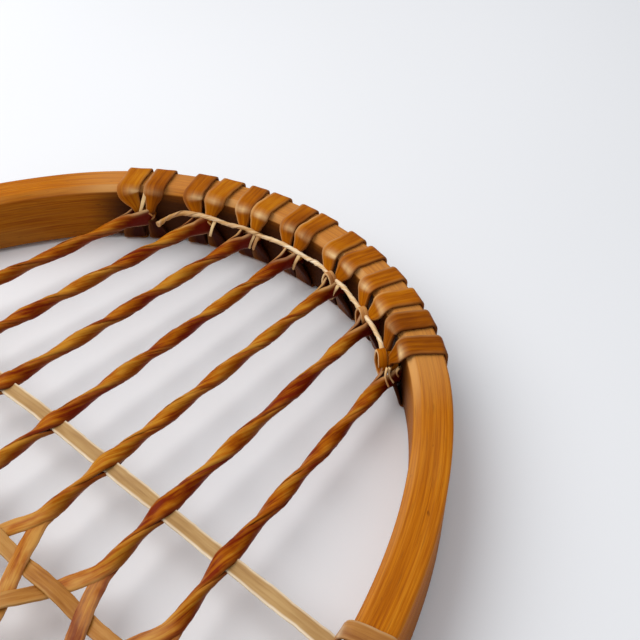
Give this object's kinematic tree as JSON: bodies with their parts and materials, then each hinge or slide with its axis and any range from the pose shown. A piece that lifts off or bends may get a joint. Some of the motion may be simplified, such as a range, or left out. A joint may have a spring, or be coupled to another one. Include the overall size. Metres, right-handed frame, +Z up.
{
  "type": "snowshoe",
  "caption": "Oval wooden snowshoe: a bent ash hoop with hitched, twisted rawhide cords at each end and a hexagonal rawhide weave underfoot behind an open toe hole.",
  "frame": {"origin": "on the ground under the middle of the hoop, where the undersides of the rawhide turns rest", "axes": "+Y to the toe, +X to the right, +Z up"},
  "size_m": [0.2688, 0.5028, 0.0257],
  "materials": {
    "ash": "satin varnish over straight grain",
    "copper": "dull copper",
    "rawhide": "varnished rawhide",
    "dark_rawhide": "varnished rawhide",
    "pale_rawhide": "dry rawhide",
    "straw_cord": "dry rawhide cord"
  },
  "bodies": {
    "root": {"frame_hoop": "ash", "scarf_rivets": "copper", "rivet_burrs": "copper", "heel_hitch_1": "rawhide", "heel_hitch_2": "rawhide", "heel_hitch_3": "rawhide", "heel_hitch_4": "rawhide", "heel_hitch_5": "rawhide", "heel_hitch_6": "rawhide", "heel_hitch_7": "rawhide", "toe_hitch_1": "rawhide", "toe_hitch_2": "rawhide", "toe_hitch_3": "rawhide", "toe_hitch_4": "rawhide", "toe_hitch_5": "rawhide", "toe_hitch_6": "rawhide", "toe_hitch_7": "rawhide", "left_side_hitches": "rawhide", "right_side_hitches": "rawhide", "cross_strips": "rawhide", "right_leaning_laces": "rawhide", "left_leaning_laces": "rawhide", "left_panel_strips": "rawhide", "right_panel_strips": "rawhide", "left_panel_laces": "rawhide", "right_panel_laces": "rawhide", "heel_cord_1": "dark_rawhide", "heel_cord_2": "dark_rawhide", "heel_cord_3": "dark_rawhide", "heel_cord_4": "dark_rawhide", "heel_cord_5": "dark_rawhide", "heel_cord_6": "dark_rawhide", "heel_cord_7": "dark_rawhide", "toe_cord_1": "dark_rawhide", "toe_cord_2": "dark_rawhide", "toe_cord_3": "dark_rawhide", "toe_cord_4": "dark_rawhide", "toe_cord_5": "dark_rawhide", "toe_cord_6": "dark_rawhide", "toe_cord_7": "dark_rawhide", "toe_cord": "dark_rawhide", "heel_strip": "pale_rawhide", "toe_strip": "pale_rawhide", "heel_strip_hitches": "pale_rawhide", "toe_strip_hitches": "pale_rawhide", "heel_selvage": "straw_cord", "toe_selvage": "straw_cord"}
  },
  "joints": []
}
